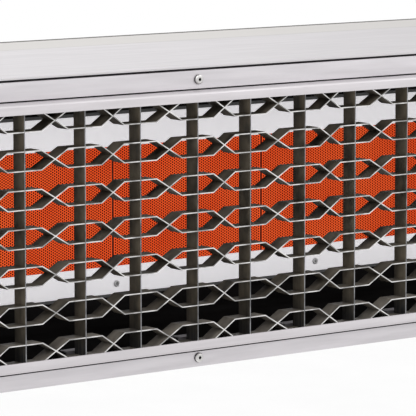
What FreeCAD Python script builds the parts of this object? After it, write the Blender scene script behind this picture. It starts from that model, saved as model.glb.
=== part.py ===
import FreeCAD, Part
import math
import os
from FreeCAD import Vector

# Overhead infrared heater, hung from two ceiling brackets. Millimetres.
# Heater axes while it is drawn: X along the length, Y from the fascia's front face to the rear,
# Z up from the middle of the grille. export() then moves the origin to the ceiling bolts.

# Housing
body_length = 1219.2
body_height = 203.2
body_depth = 203.2
sheet = 1.2
cap_sheet = 1.5
cover_gap = 1.5
cover_pitch_deg = 2.0
cover_bend_y = 138.5
return_depth = 20.0
cap_flange = 20.0
cap_gap = 0.3

# Bezel and grille
fascia_margin = 13.4
bezel_lip = 7.0
bezel_projection = 12.0
bezel_radius = 2.0
reveal_top = 1.0
reveal_bottom = 3.0
strip = 0.7
grille_depth = 12.7
cell_pitch = 46.5
cell_stagger = 0.7
grid_shift = -9.3
pair_pitch = 25.4
pair_count = 7
flat_half = 13.3

# Burner
plaque_count = 8
plaque_length = 132.0
plaque_height = 92.0
plaque_thickness = 13.0
plaque_joint = 1.0
plaque_front_y = 100.0
burner_drop = 1.5
plaque_cover = 3.4
gasket = 2.0
ledge = 6.0
plenum_depth = 25.0
reflector_height = 127.0
reflector_end_gap = 24.6
wing_rim_gap = 1.0
wing_sheet = 0.8
wing_stripe = 2.5
blanket = 6.0

# Gas train and controls
gas_from_rear = 31.2
gas_z = -45.0
mixing_z = -24.0
mixing_bore = 16.0
mixing_wall = 1.2
flare_length = 14.0
flare_reach = 6.0
mixing_length = 250.0
mixing_start_x = 70.0
pipe_radius = 6.35
nipple_radius = 10.65
nipple_inner_radius = 10.0
nipple_bore = 7.9
nipple_collar = 4.0
nipple_stand_out = 28.0
valve_x = 420.0
valve_size = (86.0, 46.0, 48.0)
valve_coil = 26.0
stem_radius = 4.0
running_gap = 0.05
lead_radius = 3.0
grommet_bore = 8.0
power_x = 540.0
power_z = 60.0

# Hanging and tilting
pivot_to_ceiling = 190.5
bracket_sheet = 3.0
bracket_half_width = 44.0
flange_reach = 48.0
ceiling_slot_width = 9.0
ceiling_slot_length = 20.0
ceiling_slot_spacing = 56.0
tilt_range_deg = 60.0
arc_radius = 60.0
arc_rest_deg = 60.0
stud_radius = 4.0
stud_clearance = 0.4
washer = 3.0
side_gap = 0.3
pivot_radius = 5.0
knob_radius = 19.0

# Fasteners
screw_head = 3.4
screw_head_height = 1.7
screw_shank = 2.0
fascia_shank = 6.0
plate_head = 2.4
plate_head_height = 1.1
plate_screw_pitch = 181.0
plate_screw_shift = 2.0
plate_screw_count = 7

# Worked out from the sizes above
half_length = body_length / 2
half_height = body_height / 2
rear_y = body_depth
pivot_y = body_depth / 2
bezel_half_x = half_length - fascia_margin
bezel_half_z = half_height - fascia_margin
lip_half_x = bezel_half_x - bezel_lip
lip_half_z = bezel_half_z - bezel_lip
grille_front_y = -bezel_projection + sheet
grille_rear_y = grille_front_y + grille_depth
grille_half_x = bezel_half_x - sheet
grille_half_z = bezel_half_z - sheet
cover_front_z = half_height + cover_gap
cover_rear_z = cover_front_z + cover_bend_y * math.tan(math.radians(cover_pitch_deg))
plaque_pitch = plaque_length + plaque_joint
row_half_x = plaque_count * plaque_pitch / 2
burner_z = -burner_drop
seat_half_z = plaque_height / 2 + 0.5
plaque_rear_y = plaque_front_y + plaque_thickness
ledge_y = plaque_rear_y + gasket
plenum_rear_y = ledge_y + plenum_depth
reflector_half_z = reflector_height / 2
cap_inner_x = half_length - cap_sheet
reflector_end = half_length - reflector_end_gap
gas_y = body_depth - gas_from_rear
bracket_x = half_length + washer + side_gap


def box(x0, x1, y0, y1, z0, z1):
    return Part.makeBox(x1 - x0, y1 - y0, z1 - z0, Vector(x0, y0, z0))


def rod(start, axis, radius, length):
    return Part.makeCylinder(radius, length, Vector(*start), Vector(*axis))


def tube(start, axis, outer, inner, length):
    return rod(start, axis, outer, length).cut(rod(start, axis, inner, length))


def slab(outline, thickness_vector):
    """Closed outline of points pushed along a vector."""
    wire = Part.makePolygon([Vector(*p) for p in outline + outline[:1]])
    return Part.Face(wire).extrude(Vector(*thickness_vector))


def band(points, thickness):
    """Outline of a strip of even thickness centred on a bent line of 2-D points."""
    left = []
    right = []
    normals = []
    for (ax, ay), (bx, by) in zip(points, points[1:]):
        run = math.hypot(bx - ax, by - ay)
        normals.append(((ay - by) / run, (bx - ax) / run))
    for index, (px, py) in enumerate(points):
        before = normals[max(index - 1, 0)]
        after = normals[min(index, len(normals) - 1)]
        share = thickness / 2 / (1 + before[0] * after[0] + before[1] * after[1])
        dx = (before[0] + after[0]) * share
        dy = (before[1] + after[1]) * share
        left.append((px + dx, py + dy))
        right.append((px - dx, py - dy))
    return left + right[::-1]


def sheet_along_x(points_yz, thickness, x0, x1):
    outline = [(x0, y, z) for y, z in band(points_yz, thickness)]
    return slab(outline, (x1 - x0, 0, 0))


def moved(shape, x=0.0, y=0.0, z=0.0):
    copy = shape.copy()
    copy.translate(Vector(x, y, z))
    return copy


def turned(shape, axis, angle):
    copy = shape.copy()
    copy.rotate(Vector(0, 0, 0), Vector(*axis), angle)
    return copy


def hexagon(across_flats, thickness):
    corner = across_flats / math.sqrt(3)
    outline = []
    for k in range(6):
        angle = math.radians(60 * k)
        outline.append((corner * math.cos(angle), corner * math.sin(angle), 0.0))
    return slab(outline, (0, 0, thickness))


def nut(across_flats, thickness, bore):
    return hexagon(across_flats, thickness).cut(rod((0, 0, 0), (0, 0, 1), bore, thickness))


def pan_screw(shank_length, radius=screw_head, height=screw_head_height):
    """Pan head above Z = 0 with a six-sided socket, shank below."""
    head = rod((0, 0, 0), (0, 0, 1), radius, height)
    head = head.makeFillet(height * 0.7, [head.Edges[0]])
    socket = moved(hexagon(radius * 0.62, height), z=height * 0.15)
    shank = rod((0, 0, -shank_length), (0, 0, 1), screw_shank, shank_length)
    return head.cut(socket).fuse(shank)


def export(name, solids):
    """Write one node, with the origin moved to the plane of the ceiling bolts."""
    shape = solids[0] if len(solids) == 1 else Part.makeCompound(solids)
    moved(shape, y=-pivot_y, z=-pivot_to_ceiling).exportStep(os.path.join("parts", name + ".step"))
    print(name, len(shape.Solids), round(shape.Volume))


# ---- places shared by holes and the screws in them

def spread(count, half_span):
    """Evenly spaced places from -half_span to half_span."""
    return [-half_span + 2 * half_span * k / (count - 1) for k in range(count)]


fascia_screw_z = half_height - 6.2
fascia_screw_x = spread(5, half_length - 14.0)
seam_x = [-row_half_x + plaque_pitch * k for k in range(plaque_count + 1)]
plate_screw_z = 7.0 - reflector_half_z
plate_screw_reach = plate_screw_pitch * (plate_screw_count - 1) / 2
plate_screw_x = [plate_screw_shift + x for x in spread(plate_screw_count, plate_screw_reach)]
cap_screw_x = half_length - cap_flange / 2 - cap_sheet
bottom_screw_y = (body_depth * 0.3, body_depth * 0.75)
rear_screw_z = (-body_height * 0.33, body_height * 0.33)
cover_screw_y = rear_y - 22.0
blade_numbers = [n for n in range(-40, 41) if abs(grid_shift + cell_pitch * n) < lip_half_x - 8.0]


def blade_x(n):
    """Blades stand in pairs, so the cells are wide and narrow by turns."""
    return grid_shift + cell_pitch * n + (cell_stagger if n % 2 == 0 else -cell_stagger)


# ---- housing

def front_fascia():
    face = box(-half_length, half_length, 0, sheet, -half_height, half_height)
    reach = bezel_half_x + reveal_top
    face = face.cut(box(-reach, reach, 0, sheet, -bezel_half_z - reveal_bottom, bezel_half_z + reveal_top))
    top = box(-half_length, half_length, 0, return_depth, half_height - sheet, half_height)
    bottom = moved(top, z=sheet - body_height)
    fascia = face.fuse([top, bottom])
    for x in fascia_screw_x:
        for side in (-1, 1):
            fascia = fascia.cut(rod((x, 0, side * fascia_screw_z), (0, 1, 0), screw_shank, sheet))
    return [fascia]


def grille_bezel():
    front = -bezel_projection
    hx = bezel_half_x
    hz = bezel_half_z
    block = box(-hx, hx, front, sheet, -hz, hz)
    rim = [e for e in block.Edges if abs(e.CenterOfMass.y - front) < 1e-6]
    corners = [e for e in block.Edges if abs(e.Length - bezel_projection - sheet) < 1e-6]
    block = block.makeFillet(bezel_radius, rim + corners)
    lx = lip_half_x
    lz = lip_half_z
    block = block.cut(box(-lx, lx, front, sheet, -lz, lz))
    gx = grille_half_x
    gz = grille_half_z
    return [block.cut(box(-gx, gx, grille_front_y, sheet, -gz, gz))]


def top_cover():
    run = cover_bend_y * math.tan(math.radians(cover_pitch_deg))
    lift = sheet / 2
    line = [(0, cover_front_z + lift), (cover_bend_y, cover_front_z + run + lift)]
    line += [(rear_y, cover_rear_z + lift)]
    cover = sheet_along_x(line, sheet, -half_length, half_length)
    for x in (-cap_screw_x, cap_screw_x):
        cover = cover.cut(rod((x, cover_screw_y, cover_rear_z), (0, 0, 1), screw_shank, sheet))
    return [cover]


def rear_panel():
    panel = box(-half_length, half_length, rear_y - sheet, rear_y, -half_height, cover_rear_z)
    panel = panel.cut(rod((power_x, rear_y - sheet, power_z), (0, 1, 0), grommet_bore + 3.0, sheet))
    for x in (-cap_screw_x, cap_screw_x):
        for z in rear_screw_z:
            panel = panel.cut(rod((x, rear_y - sheet, z), (0, 1, 0), screw_shank, sheet))
    slot = box(-20, 20, rear_y - sheet, rear_y, -2.5, 2.5)
    for x in spread(9, half_length * 0.7):
        panel = panel.cut(moved(slot, x=x, z=half_height * 0.72))
    return [panel]


def bottom_panel():
    z0 = -half_height
    panel = box(-half_length, half_length, return_depth, rear_y - sheet, z0, z0 + sheet)
    for x in (-cap_screw_x, cap_screw_x):
        for y in bottom_screw_y:
            panel = panel.cut(rod((x, y, z0), (0, 0, 1), screw_shank, sheet))
    return [panel]


def end_cap(side):
    """Pan-shaped end with three flanges, a pivot hole, a stud hole and, on the gas side, a pipe hole."""
    low = -half_height + sheet
    slope = math.tan(math.radians(cover_pitch_deg))
    back = rear_y - sheet
    top = cover_rear_z - cap_gap
    shoulder = cover_front_z + return_depth * slope - cap_gap
    outline = [(sheet, low), (back, low), (back, top), (cover_bend_y, top)]
    outline += [(return_depth, shoulder), (return_depth, half_height - sheet)]
    outline += [(sheet, half_height - sheet)]
    plate = slab([(cap_inner_x, y, z) for y, z in outline], (cap_sheet, 0, 0))
    inner = cap_inner_x - cap_flange
    cap = plate.fuse([
        box(inner, cap_inner_x, return_depth, back, low, low + cap_sheet),
        box(inner, cap_inner_x, back - cap_sheet, back, low, top),
        box(inner, cap_inner_x, cover_bend_y, back, top - cap_sheet, top),
    ])
    cap = cap.cut(rod((cap_inner_x, pivot_y, 0), (1, 0, 0), pivot_radius, cap_sheet))
    stud_y, stud_z = stud_place()
    cap = cap.cut(rod((cap_inner_x, stud_y, stud_z), (1, 0, 0), stud_radius + stud_clearance, cap_sheet))
    x = cap_screw_x
    for y in bottom_screw_y:
        cap = cap.cut(rod((x, y, low), (0, 0, 1), screw_shank, cap_sheet))
    for z in rear_screw_z:
        cap = cap.cut(rod((x, back - cap_sheet, z), (0, 1, 0), screw_shank, cap_sheet))
    cap = cap.cut(rod((x, cover_screw_y, top - cap_sheet), (0, 0, 1), screw_shank, cap_sheet))
    if side < 0:
        return [cap.mirror(Vector(0, 0, 0), Vector(1, 0, 0))]
    return [cap.cut(rod((cap_inner_x, gas_y, gas_z), (1, 0, 0), nipple_inner_radius + cap_gap, cap_sheet))]


def stud_place():
    angle = math.radians(arc_rest_deg)
    return pivot_y + arc_radius * math.cos(angle), arc_radius * math.sin(angle)


# ---- grille: notched upright blades and crossing waves, all flush at front and back

def wave_line(direction):
    """Centre line of one wave: flat past each blade, sloping between blades."""
    half_swing = pair_pitch / 4
    points = []
    for n in [blade_numbers[0] - 1] + blade_numbers + [blade_numbers[-1] + 1]:
        height = half_swing * direction * (1 if n % 2 == 0 else -1)
        points.append((blade_x(n) - flat_half, height))
        points.append((blade_x(n) + flat_half, height))
    inside = [p for p in points if abs(p[0]) < grille_half_x]
    ends = []
    for end in (-grille_half_x, grille_half_x):
        for (ax, az), (bx, bz) in zip(points, points[1:]):
            if ax <= end <= bx:
                ends.append((end, az + (bz - az) * (end - ax) / (bx - ax)))
    return [ends[0]] + inside + [ends[1]]


def wave_strip(direction, y0, y1):
    outline = [(x, y0, z) for x, z in band(wave_line(direction), strip)]
    return slab(outline, (0, y1 - y0, 0))


def wave_pair():
    """One rising and one falling wave, half-lapped with each other and with the blades."""
    mid_y = grille_front_y + grille_depth / 2
    limits = box(-grille_half_x, grille_half_x, grille_front_y, grille_rear_y, -pair_pitch, pair_pitch)
    rising = wave_strip(1, grille_front_y, grille_rear_y).common(limits)
    falling = wave_strip(-1, grille_front_y, grille_rear_y).common(limits)
    falling_front = wave_strip(-1, grille_front_y, mid_y)
    rising_rear = wave_strip(1, mid_y, grille_rear_y)
    blades = []
    for n in blade_numbers:
        x = blade_x(n)
        blades.append(box(x - strip / 2, x + strip / 2, grille_front_y, mid_y, -pair_pitch, pair_pitch))
    return rising.cut([falling_front] + blades), falling.cut([rising_rear] + blades)


def grille_waves(one):
    middle = (pair_count - 1) / 2
    solids = []
    for k in range(pair_count):
        solids += moved(one, z=pair_pitch * (k - middle)).Solids
    return solids


def grille_vertical_blades():
    mid_y = grille_front_y + grille_depth / 2
    blade = box(-strip / 2, strip / 2, grille_front_y, grille_rear_y, -grille_half_z, grille_half_z)
    notches = []
    for k in range(2 * pair_count):
        level = pair_pitch / 2 * (k - pair_count + 0.5)
        notches.append(box(-strip, strip, mid_y, grille_rear_y, level - strip / 2, level + strip / 2))
    blade = blade.cut(notches)
    return [moved(blade, x=blade_x(n)) for n in blade_numbers]


def clip_numbers():
    return [n for n in blade_numbers if n % 2 == 0]


def grille_clips():
    """Bent tabs behind the fascia that hold the back edge of every second blade."""
    y0 = grille_rear_y + 0.1
    hook = box(-7, 7, y0, y0 + 1, -half_height + 9, -lip_half_z + 1)
    hook = hook.fuse(box(-7, 7, y0, y0 + 8, -lip_half_z, -lip_half_z + 1))
    solids = []
    for n in clip_numbers():
        solids.append(moved(hook, x=blade_x(n)))
        solids.append(moved(turned(hook, (0, 1, 0), 180), x=blade_x(n)))
    return solids


# ---- burner

def reflector_plate():
    y0 = plaque_front_y - sheet
    plate = box(-reflector_end, reflector_end, y0, plaque_front_y, -reflector_half_z, reflector_half_z)
    wx = row_half_x - plaque_cover
    wz = plaque_height / 2 - plaque_cover
    plate = plate.cut(box(-wx, wx, y0, plaque_front_y, burner_z - wz, burner_z + wz))
    for x in plate_screw_x:
        plate = plate.cut(rod((x, y0, plate_screw_z), (0, 1, 0), screw_shank, sheet))
    plate = plate.cut(rod((electrode_x(), y0, electrode_z()), (0, 1, 0), 5.0, sheet))
    return [plate]


def wing(side):
    """Sheet from the fascia back to the reflector plate, with a flange at each edge."""
    front = sheet + wing_sheet / 2
    back = plaque_front_y + wing_sheet / 2
    rim = half_height - sheet - wing_rim_gap
    tail = reflector_half_z + wing_stripe
    points = [(front, grille_half_z), (front, rim), (back, tail), (back, reflector_half_z - 14.0)]
    solid = sheet_along_x([(y, side * z) for y, z in points], wing_sheet, -reflector_end, reflector_end)
    for x in fascia_screw_x[1:-1]:
        solid = solid.cut(rod((x, sheet, side * fascia_screw_z), (0, 1, 0), screw_shank, fascia_shank))
    if side < 0:
        for x in plate_screw_x:
            solid = solid.cut(rod((x, plaque_front_y, plate_screw_z), (0, 1, 0), screw_shank, wing_sheet))
        solid = solid.cut(rod((electrode_x(), plaque_front_y, electrode_z()), (0, 1, 0), 5.0, wing_sheet))
    return [solid]


def reflector_ends():
    front = sheet + wing_sheet
    rim = half_height - sheet - 1.5
    tail = reflector_half_z + wing_stripe
    outline = [(front, -rim), (plaque_front_y, -tail), (plaque_front_y, tail), (front, rim)]
    right = slab([(reflector_end, y, z) for y, z in outline], (wing_sheet, 0, 0))
    return [right, right.mirror(Vector(0, 0, 0), Vector(1, 0, 0))]


def ceramic_plaque(k):
    x0 = seam_x[k] + plaque_joint / 2
    half = plaque_height / 2
    z = burner_z
    return [box(x0, x0 + plaque_length, plaque_front_y, plaque_rear_y, z - half, z + half)]


def plaque_gasket():
    """Fibre ladder: a frame behind the plaques with a rung in every joint between them."""
    x = row_half_x
    z = burner_z
    frame = box(-x, x, plaque_rear_y, ledge_y, z - seat_half_z, z + seat_half_z)
    reach = plaque_height / 2 - ledge
    frame = frame.cut(box(-x + ledge, x - ledge, plaque_rear_y, ledge_y, z - reach, z + reach))
    half = plaque_joint / 2
    rung_y = plaque_front_y + 1
    rungs = []
    for seam in seam_x[1:-1]:
        rungs.append(box(seam - half, seam + half, rung_y, ledge_y, z - seat_half_z, z + seat_half_z))
    return [frame.fuse(rungs)]


def burner_plenum():
    """Open tray that feeds gas and air to the plaques, with a ledge all round behind them."""
    x = row_half_x
    z = burner_z
    wall = seat_half_z + sheet
    tray = box(-x - sheet, x + sheet, plaque_front_y + 1, plenum_rear_y, z - wall, z + wall)
    tray = tray.cut(box(-x, x, plaque_front_y, ledge_y, z - seat_half_z, z + seat_half_z))
    reach = plaque_height / 2 - ledge
    tray = tray.cut(box(-x + ledge, x - ledge, ledge_y, ledge_y + sheet, z - reach, z + reach))
    tray = tray.cut(box(-x, x, ledge_y + sheet, plenum_rear_y - sheet, z - seat_half_z, z + seat_half_z))
    bore = rod((mixing_start_x, plenum_rear_y - sheet, mixing_z), (0, 1, 0), mixing_bore + mixing_wall, sheet)
    return [tray.cut(bore)]


def burner_supports():
    """Angle at each end that carries the burner tray on the end cap."""
    x0 = row_half_x + sheet
    leg = box(x0, cap_inner_x, plenum_rear_y - 3 * sheet, plenum_rear_y - sheet, -40, 34)
    foot = box(x0, x0 + 2 * sheet, plaque_front_y + 8, plenum_rear_y - sheet, -40, 34)
    heel = box(cap_inner_x - 2 * sheet, cap_inner_x, plaque_front_y + 8, plenum_rear_y - sheet, 12, 34)
    right = leg.fuse([foot, heel])
    return [right, right.mirror(Vector(0, 0, 0), Vector(1, 0, 0))]


def insulation_blanket():
    z = burner_z
    y0 = plenum_rear_y
    pad = box(-row_half_x, row_half_x, y0, y0 + blanket, z - seat_half_z, z + seat_half_z)
    return [pad.cut(rod((mixing_start_x, y0, mixing_z), (0, 1, 0), mixing_bore + mixing_wall, blanket))]


# ---- gas train: inlet nipple, valve, manifold, orifice and mixing tube, left of each other

def mixing_half_length():
    return mixing_start_x + mixing_length


def swept(points, bend, radius):
    """Round bar along straight runs joined by tangent arcs of one radius."""
    edges = []
    start = Vector(*points[0])
    for before, corner, after in zip(points, points[1:], points[2:]):
        knee = Vector(*corner)
        incoming = (knee - Vector(*before)).normalize()
        outgoing = (Vector(*after) - knee).normalize()
        turn = incoming.getAngle(outgoing)
        setback = bend * math.tan(turn / 2)
        entry = knee - incoming * setback
        leave = knee + outgoing * setback
        inward = (outgoing - incoming).normalize()
        middle = knee + inward * (bend / math.cos(turn / 2) - bend)
        edges.append(Part.LineSegment(start, entry).toShape())
        edges.append(Part.Arc(entry, middle, leave).toShape())
        start = leave
    edges.append(Part.LineSegment(start, Vector(*points[-1])).toShape())
    path = Part.Wire(edges)
    first = (Vector(*points[1]) - Vector(*points[0])).normalize()
    ring = Part.Wire([Part.makeCircle(radius, Vector(*points[0]), first)])
    return path.makePipeShell([ring], True, False)


def mixing_tube():
    """Venturi tube with a flared mouth, turned through an elbow into the back of the burner tray."""
    y = gas_y
    z = mixing_z
    x1 = mixing_half_length()
    route = [(x1, y, z), (mixing_start_x, y, z), (mixing_start_x, plenum_rear_y - sheet, z)]
    bend = mixing_bore + 6.0
    outer = swept(route, bend, mixing_bore + mixing_wall)
    inner = swept(route, bend, mixing_bore)
    mouth = mixing_bore + flare_reach
    foot = Vector(x1 - flare_length, y, z)
    flare = Part.makeCone(mixing_bore + mixing_wall, mouth, flare_length, foot, Vector(1, 0, 0))
    hollow = Part.makeCone(mixing_bore, mouth - mixing_wall, flare_length, foot, Vector(1, 0, 0))
    return [outer.fuse(flare).cut(inner).cut(hollow)]


def orifice_x():
    return mixing_half_length() + 6.0


def gas_orifice():
    """Brass spud with a hexagon, drilled through."""
    x = orifice_x()
    nose = Part.makeCone(3.5, pipe_radius, 8, Vector(x, gas_y, mixing_z), Vector(1, 0, 0))
    hexagonal = moved(turned(hexagon(16.0, 7), (0, 1, 0), 90), x + 8, gas_y, mixing_z)
    return [nose.fuse(hexagonal).cut(rod((x, gas_y, mixing_z), (1, 0, 0), 0.8, 15))]


def gas_manifold():
    x0 = orifice_x() + 15.0
    run = (valve_x - x0) / 3
    route = [(x0, gas_y, mixing_z), (x0 + run, gas_y, mixing_z)]
    route += [(x0 + 2 * run, gas_y, gas_z), (valve_x, gas_y, gas_z)]
    bend = 20.0
    return [swept(route, bend, pipe_radius).cut(swept(route, bend, pipe_radius - 1.0))]


def gas_valve():
    """Valve body with a round inlet boss, a coil on top and a bore for the knob's stem."""
    length, depth, height = valve_size
    y0 = gas_y - depth / 2
    z0 = gas_z - height / 2
    body = box(valve_x, valve_x + length, y0, y0 + depth, z0, z0 + height)
    upright = [e for e in body.Edges if abs(e.Length - height) < 1e-6]
    body = body.makeFillet(4.0, upright)
    boss = rod((valve_x + length, gas_y, gas_z), (1, 0, 0), nipple_inner_radius + 4.0, 14)
    coil_x = valve_x + length - 36
    top = z0 + height
    coil = box(coil_x, coil_x + 32, gas_y - 16, gas_y + 16, top, top + valve_coil)
    body = body.fuse([boss, coil])
    body = body.cut(rod((valve_x, gas_y, gas_z), (1, 0, 0), pipe_radius - 1.0, 20))
    body = body.cut(rod((valve_x + length - 20, gas_y, gas_z), (1, 0, 0), nipple_bore, 34))
    body = body.cut(rod((valve_x + length, gas_y, gas_z), (1, 0, 0), nipple_inner_radius, 14))
    return [body.cut(rod(knob_foot(8.0), (0, 0, 1), stem_radius + running_gap, 8))]


def knob_foot(depth):
    return valve_x + 20.0, gas_y, gas_z + valve_size[2] / 2 - depth


def valve_knob():
    x, y, z = knob_foot(0.0)
    skirt = rod((x, y, z + side_gap), (0, 0, 1), 15, 6)
    grip = box(x - 13, x + 13, y - 4, y + 4, z + 6, z + 18)
    grip = grip.makeFillet(2.5, [e for e in grip.Edges if abs(e.Length - 12) < 1e-6])
    stem = rod((x, y, z - 7.5), (0, 0, 1), stem_radius, 9)
    return [skirt.fuse([grip, stem])]


def gas_inlet_nipple():
    """Pipe from the valve through the end cap, with a hexagonal collar outside the cap."""
    x0 = valve_x + valve_size[0]
    x1 = half_length + nipple_collar
    inside = rod((x0, gas_y, gas_z), (1, 0, 0), nipple_inner_radius, half_length - x0)
    collar = moved(turned(hexagon(27.0, nipple_collar), (0, 1, 0), 90), half_length, gas_y, gas_z)
    outside = rod((x1, gas_y, gas_z), (1, 0, 0), nipple_radius, nipple_stand_out)
    bore = rod((x0, gas_y, gas_z), (1, 0, 0), nipple_bore, x1 + nipple_stand_out - x0)
    return [inside.fuse([collar, outside]).cut(bore)]


# ---- ignition and controls

def electrode_x():
    return row_half_x - plaque_length * 0.62


def electrode_z():
    return plate_screw_z + 1.0


def electrode_insulator():
    front = rod((electrode_x(), plaque_front_y - 26, electrode_z()), (0, 1, 0), 3.6, 50)
    collar = rod((electrode_x(), plaque_front_y - sheet - 4, electrode_z()), (0, 1, 0), 5.6, 4)
    body = front.fuse(collar)
    return [body.cut(rod((electrode_x(), plaque_front_y - 26, electrode_z()), (0, 1, 0), 1.0, 50))]


def ignition_electrode():
    x = electrode_x()
    z = electrode_z()
    tip = z + 34.0
    route = [(x, plaque_front_y + 24, z), (x, plaque_front_y - 40, z), (x, plaque_front_y - 14, tip)]
    return [swept(route, 5.0, 1.0)]


def electrode_bracket():
    x = electrode_x()
    z = electrode_z()
    y = plaque_front_y - sheet - 5.0
    plate = box(x - 16, x + 9, y, y + 1, z - 8, z + 8)
    plate = plate.fuse(box(x - 17, x - 16, y, y + 5, z - 8, z + 8))
    return [plate.cut(rod((x, y, z), (0, 1, 0), 3.6, 1))]


def module_x():
    return electrode_x() - 330.0


def ignition_module():
    x = module_x()
    y1 = rear_y - sheet
    case = box(x, x + 110, y1 - 34, y1, 8, 84)
    case = case.makeFillet(3.0, [e for e in case.Edges if abs(e.Length - 34) < 1e-6])
    return [case.fuse(rod((x + 95, y1 - 40, 20), (0, 1, 0), 5, 6))]


def transformer_core():
    x = module_x() - 90.0
    y1 = rear_y - sheet
    core = box(x, x + 50, y1 - 40, y1 - 2, 20, 62)
    feet = box(x - 12, x + 62, y1 - 2, y1, 24, 58)
    return [core.fuse(feet)]


def transformer_coil():
    x = module_x() - 90.0
    y1 = rear_y - sheet
    coil = box(x + 8, x + 42, y1 - 46, y1 - 2, 10, 72)
    return [coil.cut(box(x, x + 50, y1 - 40, y1 - 2, 20, 62))]


def terminal_block():
    y1 = rear_y - sheet
    x = power_x - 70.0
    block = box(x, x + 42, y1 - 16, y1, 40, 60)
    wells = [rod((x + 7 + 14 * k, y1 - 16, 50), (0, 1, 0), 3.2, 8) for k in range(3)]
    return [block.cut(wells)]


def ignition_lead():
    """High-tension lead from the module's tower, down under the burner tray and in to the electrode."""
    x = electrode_x()
    z = electrode_z()
    x0 = module_x() + 95.0
    y = rear_y - sheet - 48.0
    low = burner_z - seat_half_z - 22.0
    route = [(x0, y + 8, 20), (x0, y, 20), (x - 95, y, 20), (x - 70, y, low), (x - 40, y - 22, low)]
    route += [(x, plaque_front_y + 42, z), (x, plaque_front_y + 24, z)]
    return [swept(route, 7.0, lead_radius)]


def valve_lead():
    """Low-voltage lead from the module down to the valve's coil."""
    x0 = module_x() + 110.0
    x1 = valve_x + valve_size[0] - 20.0
    y = gas_y + 6.0
    z1 = gas_z + valve_size[2] / 2 + valve_coil
    route = [(x0, y, 60), (x1, y, 60), (x1, y, z1)]
    return [swept(route, 24.0, lead_radius - 0.5)]


def supply_lead():
    """Supply lead from the terminal block, over the module and down to the transformer."""
    y1 = rear_y - sheet
    y = y1 - 26.0
    x0 = power_x - 35.0
    x1 = module_x() - 65.0
    top = 94.0
    route = [(x0, y1 - 8, 50), (x0, y, 50), (x0, y, top), (x1, y, top), (x1, y, 72)]
    return [swept(route, 8.0, lead_radius)]


def power_grommet():
    y1 = rear_y - sheet
    body = rod((power_x, y1 - 2, power_z), (0, 1, 0), grommet_bore + 5.5, sheet + 4)
    groove = tube((power_x, y1, power_z), (0, 1, 0), grommet_bore + 6.0, grommet_bore + 3.0, sheet)
    return [body.cut(groove).cut(rod((power_x, y1 - 2, power_z), (0, 1, 0), grommet_bore, sheet + 4))]


# ---- hanging brackets, pivots and tilt knobs

def bracket(side):
    """Arm outside the end cap, with a pivot bore, a slot for the tilt stud and a ceiling flange."""
    x0 = bracket_x
    half = bracket_half_width
    top = pivot_to_ceiling
    arm = box(x0, x0 + bracket_sheet, pivot_y - half, pivot_y + half, 0, top)
    arm = arm.fuse(rod((x0, pivot_y, 0), (1, 0, 0), half, bracket_sheet))
    flange = box(x0, x0 + flange_reach, pivot_y - half, pivot_y + half, top - bracket_sheet, top)
    arm = arm.fuse(flange).removeSplitter()
    bend = [e for e in arm.Edges if is_bend(e, x0, top)]
    arm = arm.makeFillet(bracket_sheet * 0.9, bend)
    arm = arm.cut(rod((x0, pivot_y, 0), (1, 0, 0), pivot_radius + running_gap, bracket_sheet))
    arm = arm.cut(arc_slot(x0))
    for y in (-1, 1):
        arm = arm.cut(ceiling_slot(pivot_y + y * ceiling_slot_spacing / 2))
    if side < 0:
        return [arm.mirror(Vector(0, 0, 0), Vector(1, 0, 0))]
    return [arm]


def is_bend(edge, x0, top):
    centre = edge.CenterOfMass
    along_y = edge.Length > bracket_half_width
    outside = abs(centre.x - x0) < 0.01 and abs(centre.z - top) < 0.01
    inside = abs(centre.x - x0 - bracket_sheet) < 0.01 and abs(centre.z - top + bracket_sheet) < 0.01
    return along_y and (outside or inside)


def arc_slot(x0):
    """Slot that the tilt stud runs in, from the rest place to the end of the tilt."""
    half = stud_radius + stud_clearance
    end_deg = arc_rest_deg + tilt_range_deg
    points = []
    rims = ((arc_radius + half, arc_rest_deg, end_deg), (arc_radius - half, end_deg, arc_rest_deg))
    for radius, first, last in rims:
        ends = []
        for degrees in (first, (first + last) / 2, last):
            angle = math.radians(degrees)
            ends.append(Vector(x0, pivot_y + radius * math.cos(angle), radius * math.sin(angle)))
        points.append(ends)
    outer = Part.Arc(*points[0]).toShape()
    inner = Part.Arc(*points[1]).toShape()
    joins = [Part.makeLine(points[0][2], points[1][0]), Part.makeLine(points[1][2], points[0][0])]
    sector = Part.Face(Part.Wire([outer, joins[0], inner, joins[1]])).extrude(Vector(bracket_sheet, 0, 0))
    ends = []
    for degrees in (arc_rest_deg, end_deg):
        angle = math.radians(degrees)
        centre = (x0, pivot_y + arc_radius * math.cos(angle), arc_radius * math.sin(angle))
        ends.append(rod(centre, (1, 0, 0), half, bracket_sheet))
    return sector.fuse(ends)


def ceiling_slot(y):
    """Slot for a ceiling bolt, long in X, in the middle of the flange."""
    centre_x = bracket_x + bracket_sheet + (flange_reach - bracket_sheet) / 2
    z0 = pivot_to_ceiling - bracket_sheet
    half = (ceiling_slot_length - ceiling_slot_width) / 2
    radius = ceiling_slot_width / 2
    slot = box(centre_x - half, centre_x + half, y - radius, y + radius, z0, pivot_to_ceiling)
    ends = [rod((centre_x + s * half, y, z0), (0, 0, 1), radius, bracket_sheet) for s in (-1, 1)]
    return slot.fuse(ends)


def both_sides(solid):
    return [solid.mirror(Vector(0, 0, 0), Vector(1, 0, 0)), solid]


def pivot_bolts():
    """Shoulder bolt through the bracket and the end cap, head outside."""
    out = bracket_x + bracket_sheet + side_gap
    shank = rod((cap_inner_x - 10, pivot_y, 0), (1, 0, 0), pivot_radius, out - cap_inner_x + 10)
    head = moved(turned(hexagon(17.0, 6.4), (0, 1, 0), 90), out, pivot_y, 0)
    return both_sides(shank.fuse(head))


def pivot_nuts():
    solid = turned(nut(17.0, 8.0, pivot_radius), (0, 1, 0), 90)
    return both_sides(moved(solid, cap_inner_x - 8.0, pivot_y, 0))


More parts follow.
